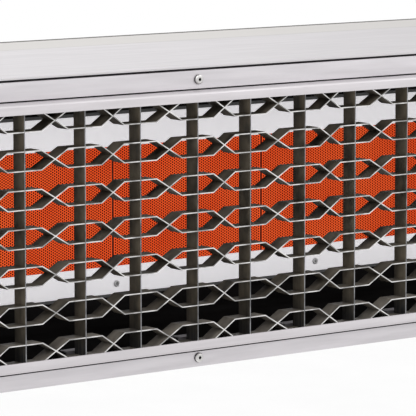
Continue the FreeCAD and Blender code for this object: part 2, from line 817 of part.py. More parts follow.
def pivot_washers():
    ring = tube((half_length, pivot_y, 0), (1, 0, 0), 15.0, pivot_radius, washer)
    return both_sides(ring)


def weld_nuts():
    y, z = stud_place()
    solid = turned(nut(13.0, 6.5, stud_radius + running_gap), (0, 1, 0), 90)
    return both_sides(moved(solid, cap_inner_x - 6.5, y, z))


def tilt_knob(side):
    """Lobed clamp knob with its stud, which passes through the slot into the weld nut."""
    y, z = stud_place()
    base = bracket_x + bracket_sheet + side_gap
    core = rod((base, y, z), (1, 0, 0), knob_radius * 0.78, 13)
    lobes = []
    for k in range(6):
        angle = math.radians(60 * k)
        reach = knob_radius * 0.72
        centre = (base + 3, y + reach * math.cos(angle), z + reach * math.sin(angle))
        lobes.append(rod(centre, (1, 0, 0), knob_radius * 0.28, 10))
    stud = rod((cap_inner_x - 6.0, y, z), (1, 0, 0), stud_radius, base - cap_inner_x + 8)
    knob = core.fuse(lobes + [stud])
    if side < 0:
        return [knob.mirror(Vector(0, 0, 0), Vector(1, 0, 0))]
    return [knob]


# ---- fasteners, one node for each kind

def fascia_screws():
    forward = turned(pan_screw(fascia_shank), (1, 0, 0), 90)
    solids = []
    for x in fascia_screw_x:
        for side in (-1, 1):
            solids.append(moved(forward, x=x, z=side * fascia_screw_z))
    return solids


def plate_screws():
    forward = turned(pan_screw(6.0, plate_head, plate_head_height), (1, 0, 0), 90)
    return [moved(forward, x=x, y=plaque_front_y - sheet, z=plate_screw_z) for x in plate_screw_x]


def housing_screws():
    """Screws in the bottom, the rear and the cover, into the flanges of both end caps."""
    down = turned(pan_screw(8.0), (1, 0, 0), 180)
    back = turned(pan_screw(8.0), (1, 0, 0), -90)
    up = pan_screw(8.0)
    solids = []
    for x in (-cap_screw_x, cap_screw_x):
        for y in bottom_screw_y:
            solids.append(moved(down, x=x, y=y, z=-half_height))
        for z in rear_screw_z:
            solids.append(moved(back, x=x, y=rear_y, z=z))
        solids.append(moved(up, x=x, y=cover_screw_y, z=cover_rear_z + sheet))
    return solids


def build():
    os.makedirs("parts", exist_ok=True)
    export("bracket_left", bracket(-1))
    export("bracket_right", bracket(1))
    export("tilt_knob_left", tilt_knob(-1))
    export("tilt_knob_right", tilt_knob(1))
    export("end_cap_left", end_cap(-1))
    export("end_cap_right", end_cap(1))
    export("upper_wing", wing(1))
    export("lower_wing", wing(-1))
    rising, falling = wave_pair()
    export("grille_rising_waves", grille_waves(rising))
    export("grille_falling_waves", grille_waves(falling))
    for k in range(plaque_count):
        export("ceramic_plaque_" + str(k + 1), ceramic_plaque(k))
    makers = (top_cover, rear_panel, bottom_panel, front_fascia, grille_bezel, grille_vertical_blades)
    makers += (grille_clips, reflector_plate, reflector_ends, plaque_gasket, burner_plenum, burner_supports)
    makers += (insulation_blanket, mixing_tube, gas_orifice, gas_manifold, gas_valve, valve_knob)
    makers += (gas_inlet_nipple, electrode_insulator, ignition_electrode, electrode_bracket, ignition_module)
    makers += (transformer_core, transformer_coil, terminal_block, ignition_lead, valve_lead, supply_lead)
    makers += (power_grommet, pivot_bolts, pivot_nuts, pivot_washers, weld_nuts)
    makers += (fascia_screws, plate_screws, housing_screws)
    for maker in makers:
        export(maker.__name__, maker())


build()
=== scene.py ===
import math
import bmesh
import bpy
import numpy as np
from mathutils import Matrix, Vector


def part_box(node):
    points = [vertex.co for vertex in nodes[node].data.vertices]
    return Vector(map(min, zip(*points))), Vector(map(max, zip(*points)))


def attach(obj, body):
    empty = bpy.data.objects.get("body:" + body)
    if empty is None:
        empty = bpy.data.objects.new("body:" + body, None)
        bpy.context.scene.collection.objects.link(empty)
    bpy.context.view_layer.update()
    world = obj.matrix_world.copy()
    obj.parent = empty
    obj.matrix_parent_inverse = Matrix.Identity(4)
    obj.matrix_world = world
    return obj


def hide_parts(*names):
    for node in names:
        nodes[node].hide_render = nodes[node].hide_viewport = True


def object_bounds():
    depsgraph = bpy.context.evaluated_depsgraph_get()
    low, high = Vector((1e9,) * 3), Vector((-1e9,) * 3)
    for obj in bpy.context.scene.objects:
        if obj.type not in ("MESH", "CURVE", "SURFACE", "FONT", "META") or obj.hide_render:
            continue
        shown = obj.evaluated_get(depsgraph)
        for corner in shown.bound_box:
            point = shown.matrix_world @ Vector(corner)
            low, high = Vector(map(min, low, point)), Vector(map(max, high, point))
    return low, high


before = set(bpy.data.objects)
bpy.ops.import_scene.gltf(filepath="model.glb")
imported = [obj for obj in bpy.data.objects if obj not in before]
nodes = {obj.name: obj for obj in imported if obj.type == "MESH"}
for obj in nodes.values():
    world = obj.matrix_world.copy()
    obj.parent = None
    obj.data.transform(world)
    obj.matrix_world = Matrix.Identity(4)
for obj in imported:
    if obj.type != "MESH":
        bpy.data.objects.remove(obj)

# Overhead infrared heater: perforated plaques, steels and plastics round the CAD frame. Metres.

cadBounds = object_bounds()

# sockets of the Mix node when it mixes colours
colourA, colourB, colourResult = 6, 7, 2


def newMaterial(name):
    material = bpy.data.materials.new(name)
    material.use_nodes = True
    tree = material.node_tree
    shader = tree.nodes["Principled BSDF"]
    return material, tree, shader


def objectPoint(tree, stretch):
    # object coordinates, stretched so that a pattern runs along one axis
    coords = tree.nodes.new("ShaderNodeTexCoord")
    mapping = tree.nodes.new("ShaderNodeMapping")
    mapping.inputs["Scale"].default_value = stretch
    tree.links.new(coords.outputs["Object"], mapping.inputs["Vector"])
    return mapping.outputs["Vector"]


def noise(tree, vector, scale, detail=3.0):
    node = tree.nodes.new("ShaderNodeTexNoise")
    node.inputs["Scale"].default_value = scale
    node.inputs["Detail"].default_value = detail
    tree.links.new(vector, node.inputs["Vector"])
    return node.outputs["Fac"]


def ramp(tree, factor, stops):
    # colour ramp from a list of (position, grey or colour)
    node = tree.nodes.new("ShaderNodeValToRGB")
    elements = node.color_ramp.elements
    while len(elements) < len(stops):
        elements.new(0.5)
    for element, (position, tone) in zip(elements, stops):
        element.position = position
        element.color = (tone, tone, tone, 1.0) if isinstance(tone, float) else (*tone, 1.0)
    tree.links.new(factor, node.inputs["Fac"])
    return node.outputs["Color"]


def bump(tree, shader, height, strength, distance):
    node = tree.nodes.new("ShaderNodeBump")
    node.inputs["Strength"].default_value = strength
    node.inputs["Distance"].default_value = distance
    tree.links.new(height, node.inputs["Height"])
    tree.links.new(node.outputs["Normal"], shader.inputs["Normal"])


def shade(tone, share):
    return tuple(channel * share for channel in tone)


def dress(names, material):
    # one finish on every slot of some CAD nodes
    for name in names:
        for slot in nodes[name].material_slots:
            slot.material = material


def axisOf(tree, axis):
    # one coordinate of the object, as a number
    coords = tree.nodes.new("ShaderNodeTexCoord")
    split = tree.nodes.new("ShaderNodeSeparateXYZ")
    tree.links.new(coords.outputs["Object"], split.inputs["Vector"])
    return split.outputs[axis]


def between(tree, value, low, high):
    # 0 at low, 1 at high, straight between
    node = tree.nodes.new("ShaderNodeMapRange")
    node.inputs["From Min"].default_value = low
    node.inputs["From Max"].default_value = high
    tree.links.new(value, node.inputs["Value"])
    return node.outputs["Result"]


def blendColours(tree, factor, first, second):
    # first at 0, second at 1; the factor is a socket or a plain number
    node = tree.nodes.new("ShaderNodeMix")
    node.data_type = "RGBA"
    if isinstance(factor, float):
        node.inputs["Factor"].default_value = factor
    else:
        tree.links.new(factor, node.inputs["Factor"])
    for socket, colour in ((node.inputs[colourA], first), (node.inputs[colourB], second)):
        if isinstance(colour, tuple):
            socket.default_value = (*colour, 1.0)
        else:
            tree.links.new(colour, socket)
    return node.outputs[colourResult]


def feeding(shader, name):
    # what feeds one socket of the shader so far
    return shader.inputs[name].links[0].from_socket


# stretch of a pattern: small along the axis that it runs on, large across it
even = (1.0, 1.0, 1.0)
alongX = (3.0, 140.0, 140.0)
alongY = (140.0, 3.0, 140.0)
alongZ = (140.0, 140.0, 3.0)
brushing = {
    "scale": 6.0, "detail": 4.0,
    "cloudScale": 5.0, "cloudDetail": 2.0,
    "sweepStart": 2.0, "sweepShare": 0.24, "sweepDetail": 3.0,
    "sweepBlend": 0.5,       # share of the wide sweeps over the fine grain
    "strength": 0.05, "relief": 0.0004,
}


def brushedStreaks(tree, stretch):
    return noise(tree, objectPoint(tree, stretch), brushing["scale"], brushing["detail"])


def brushedSteel(name, tone, roughness, grain, stretch=alongX, metal=1.0, paintedGlow=0.0):
    # fine grain along one axis over slow cloudy changes of tone and wide sweeps
    material, tree, shader = newMaterial(name)
    streaks = brushedStreaks(tree, stretch)
    clouds = noise(tree, objectPoint(tree, even), brushing["cloudScale"], brushing["cloudDetail"])
    wide = tuple(brushing["sweepStart"] + share * brushing["sweepShare"] for share in stretch)
    sweeps = noise(tree, objectPoint(tree, wide), brushing["scale"], brushing["sweepDetail"])
    fine = ramp(tree, streaks, [(0.3, shade(tone, 1.0 - grain)), (0.7, tone)])
    slow = ramp(tree, clouds, [(0.3, shade(tone, 0.95)), (0.7, shade(tone, 1.03))])
    wiped = ramp(tree, sweeps, [(0.35, shade(tone, 1.0 - grain)), (0.65, shade(tone, 1.04))])
    grained = blendColours(tree, clouds, fine, slow)
    mixed = blendColours(tree, brushing["sweepBlend"], grained, wiped)
    gloss = ramp(tree, streaks, [(0.2, roughness * 0.85), (0.8, roughness * 1.2)])
    tree.links.new(mixed, shader.inputs["Base Color"])
    tree.links.new(gloss, shader.inputs["Roughness"])
    shader.inputs["Metallic"].default_value = metal
    # painted light: an optional glow in the steel's own tone
    if paintedGlow:
        shader.inputs["Emission Color"].default_value = (*tone, 1.0)
        shader.inputs["Emission Strength"].default_value = paintedGlow
    bump(tree, shader, streaks, brushing["strength"], brushing["relief"])
    return material


skinSteel = {"tone": (0.56, 0.54, 0.555), "roughness": 0.42, "grain": 0.14}
fasciaSteel = {"tone": (0.595, 0.572, 0.592), "roughness": 0.42, "grain": 0.16}
bezelSteel = {"tone": (0.590, 0.566, 0.582), "roughness": 0.60, "grain": 0.14}
plateSteel = {
    "tone": (0.96, 0.94, 0.97), "roughness": 0.30, "grain": 0.03, "metal": 0.25,
    "paintedGlow": 0.40,            # strength of the painted glow on the plate, which stands in for the light that it reflects
}
clipSteel = {"tone": (0.30, 0.29, 0.31), "roughness": 0.45, "grain": 0.12}
bracketSteel = {"tone": (0.46, 0.455, 0.46), "roughness": 0.38, "grain": 0.14}
coverSteel = {
    "warmShade": (0.545, 0.524, 0.507),
    "warmShadeGrain": 0.93,       # share of the painted warm shade in the dark streaks
    "bend": 0.0369,          # how far back the bend lies
    "turn": 0.004,           # the painted warm shade of the face past the bend comes in over this much to each side of the bend
    "width": 0.0010,
    "bendShade": 0.72,
    "line": (0.09, 0.085, 0.08),
    "corner": 0.0095,        # half width of the painted dark shade line at the rear corner
}


bandCore = 0.6               # share of a band's half width that keeps its full tone


def bandAt(tree, value, middle, halfWidth):
    # 1 on a line across the surface, 0 away from it: one minus the distance over the half width
    away = tree.nodes.new("ShaderNodeMath")
    away.operation = "SUBTRACT"
    tree.links.new(value, away.inputs[0])
    away.inputs[1].default_value = middle
    size = tree.nodes.new("ShaderNodeMath")
    size.operation = "ABSOLUTE"
    tree.links.new(away.outputs[0], size.inputs[0])
    return between(tree, size.outputs[0], halfWidth, halfWidth * bandCore)


def foldedCover(look):
    # brushed steel with painted shade: a warmer, darker tone past the bend, a darker bend line and a dark,
    # dull line at the rear corner
    material = brushedSteel("coverSteel", **skinSteel)
    tree = material.node_tree
    shader = tree.nodes["Principled BSDF"]
    grain = feeding(shader, "Base Color")
    gloss = feeding(shader, "Roughness")
    depth = axisOf(tree, "Y")
    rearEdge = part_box("top_cover")[1].y
    # painted shade: the face past the bend takes a warmer, darker tone
    past = between(tree, depth, look["bend"] - look["turn"], look["bend"] + look["turn"])
    streaks = brushedStreaks(tree, alongX)
    warmShade = ramp(tree, streaks, [(0.3, shade(look["warmShade"], look["warmShadeGrain"])), (0.7, look["warmShade"])])
    zoned = blendColours(tree, past, grain, warmShade)
    # painted shade along the bend line
    bend = bandAt(tree, depth, look["bend"], look["width"])
    lined = blendColours(tree, bend, zoned, shade(look["warmShade"], look["bendShade"]))
    # painted shade: a dark line at the rear corner, dull and not metallic so that it stays dark
    corner = bandAt(tree, depth, rearEdge, look["corner"])
    tree.links.new(blendColours(tree, corner, lined, look["line"]), shader.inputs["Base Color"])
    tree.links.new(blendColours(tree, corner, gloss, (1.0, 1.0, 1.0)), shader.inputs["Roughness"])
    tree.links.new(between(tree, corner, 1.0, 0.0), shader.inputs["Metallic"])
    return material


dress(["rear_panel", "bottom_panel"], brushedSteel("skinSteel", **skinSteel))
dress(["front_fascia"], brushedSteel("fasciaSteel", **fasciaSteel))
dress(["grille_bezel"], brushedSteel("bezelSteel", **bezelSteel))
dress(["top_cover"], foldedCover(coverSteel))
dress(["end_cap_left", "end_cap_right"], brushedSteel("capSteel", stretch=alongY, **skinSteel))
dress(["reflector_plate"], brushedSteel("plateSteel", **plateSteel))
dress(["grille_clips"], brushedSteel("clipSteel", **clipSteel))
dress(["bracket_left", "bracket_right"], brushedSteel("bracketSteel", stretch=alongZ, **bracketSteel))
print("steels done")


# heat-browned grille strips with bright sheared edges at the front, the edges' tone partly bare metal and
# partly painted highlight
grilleFinish = {
    # the wave's edge tone is painted far brighter than the blade's: a painted highlight on one copy of the
    # same steel
    "wave": {
        "edge": (0.60, 0.59, 0.585),
        "low": (0.220, 0.198, 0.170),
        "tints": ((0.012, 0.011, 0.010), (0.064, 0.054, 0.041), (0.130, 0.112, 0.088)),
    },
    "blade": {
        "edge": (0.22, 0.22, 0.23),
        "low": (0.016, 0.018, 0.021),
        "tints": ((0.040, 0.034, 0.025), (0.090, 0.074, 0.052), (0.160, 0.134, 0.098)),
    },
    "tintStops": (0.32, 0.46, 0.66),     # soot, brown, straw
    "dullShare": 0.42,                   # darkest share of the edge's tone
    "edgeFrom": 0.0001, "edgeTo": 0.0002,
    "lowFrom": 0.055, "lowTo": 0.078,    # below the grille's middle, where the low tone comes in
    "roughness": 0.52, "metal": 0.15, "gloss": 0.3,
    "mottleStretch": (1.0, 1.6, 1.0), "mottleScale": 55.0,
    "brushStretch": (60.0, 240.0, 4.0), "brushScale": 6.0, "wear": 0.30,
    "scrapeAndGlintScale": 120.0,
    "strength": 0.08, "relief": 0.0003,
}


def heatTintedStrip(name, strip, look):
    # edge tone, partly painted highlight, within a fifth of a millimetre of the grille's front, browned steel
    # behind, which changes to the low tone under the burner
    material, tree, shader = newMaterial(name)
    soot, brown, straw = strip["tints"]
    lowest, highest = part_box("grille_vertical_blades")
    middle = (lowest.z + highest.z) / 2
    behind = between(tree, axisOf(tree, "Y"), lowest.y + look["edgeFrom"], lowest.y + look["edgeTo"])
    under = between(tree, axisOf(tree, "Z"), middle - look["lowFrom"], middle - look["lowTo"])
    mottle = noise(tree, objectPoint(tree, look["mottleStretch"]), look["mottleScale"], 3.0)
    brush = noise(tree, objectPoint(tree, look["brushStretch"]), look["brushScale"], 2.0)
    scrapeAndGlint = noise(tree, objectPoint(tree, even), look["scrapeAndGlintScale"], 2.0)
    tint = ramp(tree, mottle, list(zip(look["tintStops"], (soot, brown, straw))))
    lowTint = ramp(tree, mottle, [(0.32, shade(strip["low"], 0.35)), (0.60, strip["low"])])
    zoned = blendColours(tree, under, tint, lowTint)
    worn = ramp(tree, brush, [(0.3, shade(brown, 0.6)), (0.7, shade(straw, 1.1))])
    stain = blendColours(tree, ramp(tree, brush, [(0.35, 0.0), (0.75, look["wear"])]), zoned, worn)
    dull = shade(strip["edge"], look["dullShare"])
    # scrapes and painted glints: the edge's tone broken into bright and dull dashes
    bright = ramp(tree, scrapeAndGlint, [(0.35, dull), (0.60, strip["edge"])])
    sheen = ramp(tree, mottle, [(0.3, look["roughness"] * 0.8), (0.7, look["roughness"] * 1.2)])
    tree.links.new(blendColours(tree, behind, bright, stain), shader.inputs["Base Color"])
    tree.links.new(sheen, shader.inputs["Roughness"])
    shader.inputs["Metallic"].default_value = look["metal"]
    shader.inputs["Specular IOR Level"].default_value = look["gloss"]
    bump(tree, shader, mottle, look["strength"], look["relief"])
    return material


waveFinish = heatTintedStrip("heatTintedWave", grilleFinish["wave"], grilleFinish)
bladeFinish = heatTintedStrip("heatTintedBlade", grilleFinish["blade"], grilleFinish)
dress(["grille_rising_waves", "grille_falling_waves"], waveFinish)
dress(["grille_vertical_blades"], bladeFinish)


wingFinish = {
    # dark tones: heat blackening together with painted shade of the cavity
    "dark": (0.007, 0.006, 0.006),
    "light": (0.017, 0.016, 0.016),
    "paintedLightStripe": (0.16, 0.16, 0.16),
    "stripeFrom": 0.0016, "stripeTo": 0.0010,    # the painted light stripe starts and ends this far in front of the wing's rear edge
    "mottleStretch": (0.6, 4.0, 4.0), "mottleScale": 14.0,
    "strength": 0.05, "relief": 0.0006,
}


def sootAndShadeWing(look):
    # heat-blackened sheet, painted darker still as the shade of the cavity, with a painted light stripe where
    # it stands behind the reflector plate
    material, tree, shader = newMaterial("sootAndShadeWing")
    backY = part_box("upper_wing")[1].y
    # painted light: a paler stripe along the wing's rear edge
    paintedLightStripe = between(tree, axisOf(tree, "Y"), backY - look["stripeFrom"], backY - look["stripeTo"])
    mottle = noise(tree, objectPoint(tree, look["mottleStretch"]), look["mottleScale"], 4.0)
    soot = ramp(tree, mottle, [(0.3, look["dark"]), (0.7, look["light"])])
    tree.links.new(blendColours(tree, paintedLightStripe, soot, look["paintedLightStripe"]), shader.inputs["Base Color"])
    tree.links.new(ramp(tree, mottle, [(0.3, 0.60), (0.7, 0.80)]), shader.inputs["Roughness"])
    shader.inputs["Specular IOR Level"].default_value = 0.0
    bump(tree, shader, mottle, look["strength"], look["relief"])
    return material


dress(["upper_wing", "lower_wing", "reflector_ends"], sootAndShadeWing(wingFinish))


speckleStrength = 0.12


def speckled(name, tone, roughness, metallic=0.0, scale=90.0, spread=0.12, relief=0.0003):
    # even tone broken by fine noise in colour, gloss and height
    material, tree, shader = newMaterial(name)
    grains = noise(tree, objectPoint(tree, even), scale, 4.0)
    gloss = ramp(tree, grains, [(0.3, roughness * 0.85), (0.7, roughness * 1.15)])
    colour = ramp(tree, grains, [(0.3, shade(tone, 1 - spread)), (0.7, tone)])
    tree.links.new(colour, shader.inputs["Base Color"])
    tree.links.new(gloss, shader.inputs["Roughness"])
    shader.inputs["Metallic"].default_value = metallic
    bump(tree, shader, grains, speckleStrength, relief)
    return material


screwHead = {
    "crown": 0.0011,         # depth below the front of the head where the painted shade of the socket and of the head's foot is full
    "crownStart": 0.7,       # share of that depth where it starts
    # colour of the painted shade in the socket and at the head's foot
    "socket": (0.010, 0.010, 0.011),
    "plating": {"roughness": 0.34, "scale": 300.0, "spread": 0.10},
}
screws = {
    "fascia_screws": {"name": "fasciaScrew", "tone": (0.60, 0.59, 0.58), "metallic": 1.0},
    "plate_screws": {"name": "plateScrew", "tone": (0.80, 0.79, 0.80), "metallic": 0.3},
}


def socketScrew(nodeName, screw, look):
    # plated head with painted shade: it turns dark where it lies deeper than the head's crown, in the socket
    # and at the head's foot
    material = speckled(**screw, **look["plating"])
    tree = material.node_tree
    shader = tree.nodes["Principled BSDF"]
    plating = feeding(shader, "Base Color")
    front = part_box(nodeName)[0].y
    # painted shade below the crown
    deep = between(tree, axisOf(tree, "Y"), front + look["crown"] * look["crownStart"], front + look["crown"])
    tree.links.new(blendColours(tree, deep, plating, look["socket"]), shader.inputs["Base Color"])
    return material


for nodeName, screw in screws.items():
    dress([nodeName], socketScrew(nodeName, screw, screwHead))


plainFinishes = {
    "zincPlate": {
        "nodes": (
            "pivot_bolts", "pivot_nuts", "pivot_washers", "weld_nuts", "housing_screws", "electrode_bracket"),
        "look": {
            "tone": (0.72, 0.72, 0.71), "roughness": 0.24, "metallic": 1.0, "scale": 300.0, "spread": 0.08},
    },
    "blackSteel": {
        "nodes": ("gas_inlet_nipple", "transformer_core"),
        "look": {"tone": (0.035, 0.035, 0.038), "roughness": 0.45, "metallic": 0.6},
    },
    "aluminisedSteel": {
        "nodes": ("burner_plenum", "burner_supports", "mixing_tube"),
        "look": {"tone": (0.52, 0.52, 0.53), "roughness": 0.42, "metallic": 0.9, "scale": 60.0},
    },
    "fibre": {
        "nodes": ("plaque_gasket",),
        "look": {
            "tone": (0.30, 0.12, 0.08), "roughness": 0.95, "scale": 220.0, "spread": 0.3, "relief": 0.001},
    },
    "blanketFibre": {
        "nodes": ("insulation_blanket",),
        "look": {
            "tone": (0.78, 0.76, 0.70), "roughness": 0.95, "scale": 120.0, "spread": 0.2, "relief": 0.002},
    },
    "brassFitting": {
        "nodes": ("gas_orifice",),
        "look": {"tone": (0.66, 0.46, 0.18), "roughness": 0.28, "metallic": 1.0},
    },
    "drawnTube": {
        "nodes": ("gas_manifold",),
        "look": {"tone": (0.70, 0.71, 0.72), "roughness": 0.30, "metallic": 1.0},
    },
    "castValve": {
        "nodes": ("gas_valve",),
        "look": {
            "tone": (0.55, 0.56, 0.57), "roughness": 0.50, "metallic": 0.9,
            "scale": 160.0, "spread": 0.15, "relief": 0.0006},
    },
    "redPlastic": {
        "nodes": ("valve_knob",),
        "look": {"tone": (0.50, 0.03, 0.02), "roughness": 0.42, "scale": 400.0},
    },
    "porcelain": {
        "nodes": ("electrode_insulator",),
        "look": {"tone": (0.80, 0.78, 0.72), "roughness": 0.20, "scale": 60.0, "spread": 0.05},
    },
    "electrodeWire": {
        "nodes": ("ignition_electrode",),
        "look": {"tone": (0.28, 0.24, 0.22), "roughness": 0.40, "metallic": 0.9},
    },
    "moduleCase": {
        "nodes": ("ignition_module",),
        "look": {"tone": (0.03, 0.035, 0.05), "roughness": 0.55, "scale": 500.0},
    },
    "coilTape": {
        "nodes": ("transformer_coil",),
        "look": {"tone": (0.55, 0.40, 0.10), "roughness": 0.45},
    },
    "terminalPlastic": {
        "nodes": ("terminal_block",),
        "look": {"tone": (0.76, 0.74, 0.66), "roughness": 0.50, "scale": 400.0},
    },
    "siliconeLead": {
        "nodes": ("ignition_lead",),
        "look": {"tone": (0.42, 0.03, 0.02), "roughness": 0.55, "scale": 300.0},
    },
    "blackLead": {
        "nodes": ("valve_lead", "supply_lead"),
        "look": {"tone": (0.02, 0.02, 0.02), "roughness": 0.50, "scale": 300.0},
    },
    "grommetRubber": {
        "nodes": ("power_grommet",),
        "look": {"tone": (0.02, 0.02, 0.02), "roughness": 0.70, "scale": 300.0},
    },
    "knobPlastic": {
        "nodes": ("tilt_knob_left", "tilt_knob_right"),
        "look": {"tone": (0.02, 0.02, 0.022), "roughness": 0.48, "scale": 500.0},
    },
}
for finishName, finish in plainFinishes.items():
    dress(finish["nodes"], speckled(finishName, **finish["look"]))
print("plain finishes done")


plaqueShape = {
    "holePitch": 0.001877,   # nearest holes, one above the other
    "holeAcross": 0.00154,
    "pitDepth": 0.0022,
    "margin": 0.0004,        # plain rim round the holes
}
plaqueGlow = {
    "face": (0.88, 0.082, 0.015),
    "pit": (0.045, 0.0012, 0.001),
    "hot": (1.0, 0.125, 0.027),
    "strength": 0.85,
    "pitFrom": 0.00003, "pitTo": 0.00030,    # depth where the face's tone falls to the pit's
    "coldFace": 0.25, "coldPitShade": 0.3,        # share of each glow that is the unlit ceramic's tone; down the holes this base colour is painted shade
    "seam": 0.0011,          # half width of the dark line at each joint
    "seamCore": 0.7,         # share of it that keeps its full tone
    "patchScale": 16.0,
    "gloss": 0.2,
}


def seamBand(tree, look):
    # 1 at the joints between plaques: the distance along X to the nearest joint, under the half width
    low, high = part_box("ceramic_plaque_4")
    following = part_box("ceramic_plaque_5")[0].x
    pitch = following - low.x
    shifted = tree.nodes.new("ShaderNodeMath")
    shifted.operation = "SUBTRACT"
    tree.links.new(axisOf(tree, "X"), shifted.inputs[0])
    shifted.inputs[1].default_value = (high.x + following) / 2
    fold = tree.nodes.new("ShaderNodeMath")
    fold.operation = "PINGPONG"
    tree.links.new(shifted.outputs[0], fold.inputs[0])
    fold.inputs[1].default_value = pitch / 2
    return between(tree, fold.outputs[0], look["seam"], look["seam"] * look["seamCore"])


def glowingCeramic(look):
    # orange face with slow hot patches, falling to dark red down the holes: partly cooler hole walls, partly
    # painted shade of the holes
    material, tree, shader = newMaterial("glowingCeramic")
    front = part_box("ceramic_plaque_1")[0].y
    depth = between(tree, axisOf(tree, "Y"), front + look["pitFrom"], front + look["pitTo"])
    patches = noise(tree, objectPoint(tree, even), look["patchScale"], 3.0)
    face = ramp(tree, patches, [(0.35, look["face"]), (0.68, look["hot"])])
    seamed = blendColours(tree, seamBand(tree, look), face, look["pit"])
    glow = blendColours(tree, depth, seamed, look["pit"])
    coldFace, coldPitShade = shade(look["face"], look["coldFace"]), shade(look["pit"], look["coldPitShade"])
    # painted shade: the base colour darkens down the holes
    cold = blendColours(tree, depth, coldFace, coldPitShade)
    tree.links.new(glow, shader.inputs["Emission Color"])
    tree.links.new(cold, shader.inputs["Base Color"])
    shader.inputs["Specular IOR Level"].default_value = look["gloss"]
    shader.inputs["Emission Strength"].default_value = look["strength"]
    tree.links.new(ramp(tree, patches, [(0.2, 0.80), (0.8, 0.95)]), shader.inputs["Roughness"])
    return material


def latticeArrays(width, height, shape):
    # honeycomb of cells: corners of each cell, rim of each hole, rim at the pit's floor
    pitch = shape["holePitch"]
    columnPitch = pitch * math.sqrt(3) / 2
    columns = int((width - 2 * shape["margin"]) / columnPitch)
    rows = int((height - 2 * shape["margin"]) / pitch - 0.5)
    col, row = np.meshgrid(np.arange(columns), np.arange(rows), indexing="ij")
    x = (col - (columns - 1) / 2) * columnPitch
    z = (row - (rows - 1) / 2 + np.where(col % 2, 0.25, -0.25)) * pitch
    centres = np.stack([x.ravel(), z.ravel()], axis=1)
    turn = np.arange(6) * math.pi / 3
    ring = np.stack([np.cos(turn), np.sin(turn)], axis=1)
    corners = centres[:, None, :] + ring * pitch / math.sqrt(3)
    rims = centres[:, None, :] + ring * shape["holeAcross"] / 2
    return corners, rims


def weld(corners, pitch):
    # corners that neighbouring cells share become one vertex: equal when rounded to a grid of pitch over 20
    flat = corners.reshape(-1, 2)
    keys = np.round(flat / (pitch / 20)).astype(np.int64)
    first, index = np.unique(keys, axis=0, return_index=True, return_inverse=True)[1:]
    return flat[first], index.reshape(corners.shape[:2])


def plaqueMesh(width, height, thickness, shape):
    # closed block: honeycomb face with six-sided pits, plain rim, flat sides and back
    corners, rims = latticeArrays(width, height, shape)
    shared, cornerIndex = weld(corners, shape["holePitch"])
    cells = rims.shape[0]
    rimIndex = len(shared) + np.arange(cells * 6).reshape(cells, 6)
    floorIndex = rimIndex + cells * 6
    faceRow = np.column_stack([shared[:, 0], np.zeros(len(shared)), shared[:, 1]])
    flatRims = rims.reshape(-1, 2)
    rimRow = np.column_stack([flatRims[:, 0], np.zeros(cells * 6), flatRims[:, 1]])
    floorRow = rimRow + np.array([0.0, shape["pitDepth"], 0.0])
    points = np.concatenate([faceRow, rimRow, floorRow])
    after = np.roll(np.arange(6), -1)
    face = np.stack([cornerIndex, cornerIndex[:, after], rimIndex[:, after], rimIndex], axis=2).reshape(-1, 4)
    wall = np.stack([rimIndex, rimIndex[:, after], floorIndex[:, after], floorIndex], axis=2).reshape(-1, 4)
    mesh = bpy.data.meshes.new("plaque")
    mesh.from_pydata(points.tolist(), [], face.tolist() + wall.tolist() + floorIndex.tolist())
    closeBlock(mesh, width / 2, height / 2, thickness)
    return mesh


def closeBlock(mesh, halfWidth, halfHeight, thickness):
    # rim strip out to the block's edge, then four sides and a back
    block = bmesh.new()
    block.from_mesh(mesh)
    edges = [e for e in block.edges if e.is_boundary]
    outline = [(across * halfWidth, up * halfHeight) for across, up in ((-1, -1), (1, -1), (1, 1), (-1, 1))]
    near = [block.verts.new((x, 0.0, z)) for x, z in outline]
    far = [block.verts.new((x, thickness, z)) for x, z in outline]
    frameEdges = [block.edges.new((near[k], near[(k + 1) % 4])) for k in range(4)]
    bmesh.ops.triangle_fill(block, use_beauty=True, edges=edges + frameEdges)
    for k in range(4):
        following = (k + 1) % 4
        block.faces.new((near[k], near[following], far[following], far[k]))
    block.faces.new(far)
    bmesh.ops.recalc_face_normals(block, faces=block.faces)
    block.to_mesh(mesh)
    block.free()


def placedCopy(mesh, name, offset):
    # same block moved in its own mesh, so that its object stays at the origin
    copy = mesh.copy()
    copy.name = name
    copy.transform(Matrix.Translation(offset))
    piece = bpy.data.objects.new(name, copy)
    bpy.context.scene.collection.objects.link(piece)
    return piece


def perforatedPlaques(shape, finish):
    low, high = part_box("ceramic_plaque_1")
    size = high - low
    mesh = plaqueMesh(size.x, size.z, size.y, shape)
    mesh.materials.append(finish)
    for name in sorted(n for n in nodes if n.startswith("ceramic_plaque_")):
        low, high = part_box(name)
        middle = (low + high) / 2
        piece = placedCopy(mesh, "perforated_" + name, Vector((middle.x, low.y, middle.z)))
        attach(piece, "heater")
        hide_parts(name)
        piece.visible_diffuse = False    # the glow leaves the grille its own browned steel tone
        piece.visible_glossy = False
    bpy.data.meshes.remove(mesh)


perforatedPlaques(plaqueShape, glowingCeramic(plaqueGlow))
print("plaques done")


def newPiece(name, points, faces, materials, body):
    # mesh from whole arrays, normals turned outward, then handed to its body
    mesh = bpy.data.meshes.new(name)
    mesh.from_pydata(points.tolist(), [], faces)
    for finish in materials:
        mesh.materials.append(finish)
    block = bmesh.new()
    block.from_mesh(mesh)
    bmesh.ops.recalc_face_normals(block, faces=block.faces)
    block.to_mesh(mesh)
    block.free()
    piece = bpy.data.objects.new(name, mesh)
    bpy.context.scene.collection.objects.link(piece)
    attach(piece, body)
    return piece


